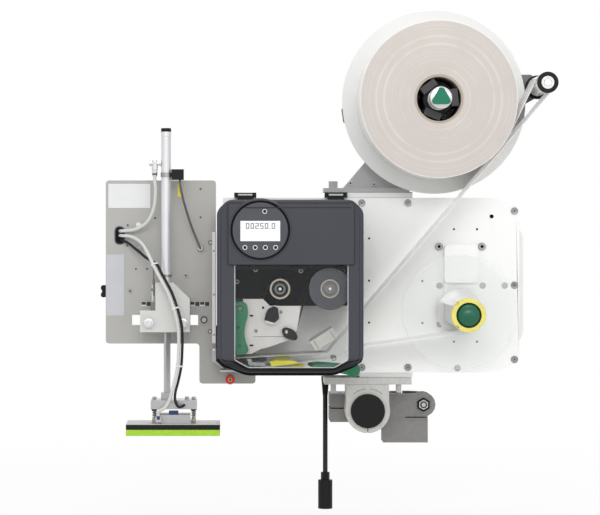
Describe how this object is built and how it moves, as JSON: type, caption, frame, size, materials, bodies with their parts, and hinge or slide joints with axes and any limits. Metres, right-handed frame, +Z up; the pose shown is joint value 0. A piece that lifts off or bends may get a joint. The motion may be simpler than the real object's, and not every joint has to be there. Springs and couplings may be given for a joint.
{
  "type": "automatic labeler",
  "caption": "Print and apply labeling machine: reel unwinder, hooded thermal printer, liner rewinder and sprung pneumatic label pad, carried by a clamp on a stand column.",
  "frame": {"origin": "axis of the cross clamp's vertical column bore, at the height of the horizontal stand tube's axis", "axes": "+X to the right seen by the operator, +Y to the back, +Z up"},
  "size_m": [0.7958, 0.3743, 0.8946],
  "materials": {
    "white_paint": "satin off-white powder coat",
    "grey_paint": "satin light grey coat",
    "dark_paint": "black coat",
    "cast_metal": "blasted cast aluminium",
    "bright_metal": "ground steel",
    "satin_aluminium": "satin anodised",
    "black_plastic": "moulded black",
    "slate_plastic": "slate grey moulded hood",
    "clear_sheet": "clear acrylic sheet",
    "roll_paper": "edge of a wound paper roll",
    "web_paper": "label and liner paper",
    "green_plastic": "dark green",
    "lever_green": "green lever",
    "red_plastic": "red",
    "yellow_plastic": "yellow collar",
    "ribbon_film": "black ribbon film",
    "black_rubber": "black rubber",
    "lime_foam": "closed-cell foam",
    "white_hose": "polyurethane hose",
    "button_metal": "button cap",
    "board": "circuit board"
  },
  "bodies": {
    "root": {"main_panel": "white_paint", "rear_housing": "white_paint", "mount_plate": "cast_metal", "clamp_ring": "cast_metal", "stand_tube": "bright_metal", "tube_cap": "black_plastic", "cross_clamp": "cast_metal", "unwinder_bracket": "grey_paint", "hinge_left": "black_plastic", "hinge_right": "black_plastic", "ribbon_plate": "dark_paint", "print_head": "satin_aluminium", "lower_guide": "satin_aluminium", "applicator_plate": "satin_aluminium", "cylinder_barrel": "bright_metal", "guide_block": "grey_paint", "cylinder_sensor": "black_plastic", "valve_block": "satin_aluminium", "drive_motor": "dark_paint", "controller_board": "board", "label_web_upper": "web_paper", "label_web_lower": "web_paper", "liner_return": "web_paper", "valve_hose": "white_hose", "pad_hose": "white_hose", "pad_cable": "black_rubber", "sensor_lead": "black_rubber", "power_lead": "black_rubber", "power_plug": "black_plastic"},
    "hood": {"hood_shell": "slate_plastic", "hood_window": "clear_sheet"},
    "dial": {"control_dial": "black_plastic"},
    "reel": {"reel_flange": "grey_paint", "reel_hub": "black_plastic", "label_roll": "roll_paper"},
    "reel_lock": {"reel_knob": "green_plastic"},
    "dancer": {"dancer_arm": "satin_aluminium"},
    "roller": {"deflection_roller": "grey_paint"},
    "rewinder": {"rewind_mandrel": "grey_paint", "rewind_disc": "clear_sheet"},
    "rewind_lock": {"rewind_knob": "yellow_plastic"},
    "ribbon_supply": {"ribbon_roll": "ribbon_film"},
    "ribbon_winder": {"ribbon_takeup": "ribbon_film"},
    "platen": {"platen_roller": "black_rubber"},
    "head_lever": {"head_lever": "lever_green"},
    "latch_lever": {"latch_lever": "slate_plastic"},
    "feed_lever": {"feed_lever": "lever_green"},
    "red_knob": {"red_knob": "red_plastic"},
    "star_knob": {"star_knob": "black_plastic"},
    "carriage": {"pad_carriage": "bright_metal", "spring_left": "bright_metal", "spring_right": "bright_metal"},
    "pad": {"pad_base": "satin_aluminium", "pad_body": "black_plastic", "pad_foam": "lime_foam"},
    "button_one": {"button_one": "button_metal"},
    "button_two": {"button_two": "button_metal"},
    "button_three": {"button_three": "button_metal"},
    "button_four": {"button_four": "button_metal"},
    "button_top": {"button_top": "button_metal"}
  },
  "joints": [
    {"name": "hood_open", "type": "hinge", "parent": "root", "child": "hood", "pos_m": [-0.2097, -0.126, 0.3844], "axis": [-1, 0, 0], "range_deg": [0, 60]},
    {"name": "dial_turn", "type": "hinge", "parent": "hood", "child": "dial", "pos_m": [-0.2654, -0.277, 0.322], "axis": [0, -1, 0], "range_deg": [-90, 90]},
    {"name": "button_one_press", "type": "slide", "parent": "dial", "child": "button_one", "axis": [0, 1, 0], "range_m": [0, 0.0008], "stiffness_N_per_m": 600, "springref_m": -0.0008},
    {"name": "button_two_press", "type": "slide", "parent": "dial", "child": "button_two", "axis": [0, 1, 0], "range_m": [0, 0.0008], "stiffness_N_per_m": 600, "springref_m": -0.0008},
    {"name": "button_three_press", "type": "slide", "parent": "dial", "child": "button_three", "axis": [0, 1, 0], "range_m": [0, 0.0008], "stiffness_N_per_m": 600, "springref_m": -0.0008},
    {"name": "button_four_press", "type": "slide", "parent": "dial", "child": "button_four", "axis": [0, 1, 0], "range_m": [0, 0.0008], "stiffness_N_per_m": 600, "springref_m": -0.0008},
    {"name": "button_top_press", "type": "slide", "parent": "dial", "child": "button_top", "axis": [0, 1, 0], "range_m": [0, 0.0008], "stiffness_N_per_m": 600, "springref_m": -0.0008},
    {"name": "reel_spin", "type": "hinge", "parent": "root", "child": "reel", "pos_m": [0.0433, -0.148, 0.5483], "axis": [0, -1, 0], "continuous": true},
    {"name": "reel_lock_turn", "type": "hinge", "parent": "reel", "child": "reel_lock", "pos_m": [0.0433, -0.262, 0.5483], "axis": [0, -1, 0], "range_deg": [0, 90]},
    {"name": "dancer_swing", "type": "hinge", "parent": "root", "child": "dancer", "pos_m": [0.0433, -0.133, 0.5483], "axis": [0, -1, 0], "range_deg": [-35, 10], "stiffness_Nm_per_rad": 6, "springref_deg": 14.35, "deforming": ["label_web_upper", "label_web_lower"]},
    {"name": "roller_spin", "type": "hinge", "parent": "dancer", "child": "roller", "pos_m": [0.2264, -0.212, 0.5748], "axis": [0, -1, 0], "continuous": true},
    {"name": "rewind_spin", "type": "hinge", "parent": "root", "child": "rewinder", "pos_m": [0.0893, -0.202, 0.177], "axis": [0, -1, 0], "continuous": true},
    {"name": "rewind_lock_turn", "type": "hinge", "parent": "rewinder", "child": "rewind_lock", "pos_m": [0.0893, -0.292, 0.177], "axis": [0, -1, 0], "range_deg": [0, 45]},
    {"name": "ribbon_supply_spin", "type": "hinge", "parent": "root", "child": "ribbon_supply", "pos_m": [-0.1449, -0.202, 0.221], "axis": [0, -1, 0], "continuous": true},
    {"name": "ribbon_winder_spin", "type": "hinge", "parent": "root", "child": "ribbon_winder", "pos_m": [-0.231, -0.202, 0.2206], "axis": [0, -1, 0], "continuous": true},
    {"name": "platen_spin", "type": "hinge", "parent": "root", "child": "platen", "pos_m": [-0.301, -0.182, 0.092], "axis": [0, -1, 0], "continuous": true},
    {"name": "head_lever_turn", "type": "hinge", "parent": "root", "child": "head_lever", "pos_m": [-0.2999, -0.242, 0.1866], "axis": [0, -1, 0], "range_deg": [0, 30]},
    {"name": "latch_lever_turn", "type": "hinge", "parent": "root", "child": "latch_lever", "pos_m": [-0.2197, -0.236, 0.1452], "axis": [0, -1, 0], "range_deg": [0, 45]},
    {"name": "feed_lever_turn", "type": "hinge", "parent": "root", "child": "feed_lever", "pos_m": [-0.176, -0.188, 0.088], "axis": [0, -1, 0], "range_deg": [-35, 0]},
    {"name": "red_knob_turn", "type": "hinge", "parent": "root", "child": "red_knob", "pos_m": [-0.317, -0.187, 0.0605], "axis": [0, -1, 0], "continuous": true},
    {"name": "star_knob_turn", "type": "hinge", "parent": "root", "child": "star_knob", "pos_m": [-0.5345, -0.107, 0.213], "axis": [0, -1, 0], "continuous": true},
    {"name": "pad_stroke", "type": "slide", "parent": "root", "child": "carriage", "axis": [0, 0, 1], "range_m": [-0.06, 0.09], "deforming": ["pad_hose", "pad_cable"]},
    {"name": "pad_float", "type": "slide", "parent": "carriage", "child": "pad", "axis": [0, 0, 1], "range_m": [0, 0.003], "stiffness_N_per_m": 3000, "springref_m": -0.0018, "deforming": ["spring_left", "spring_right"]}
  ]
}
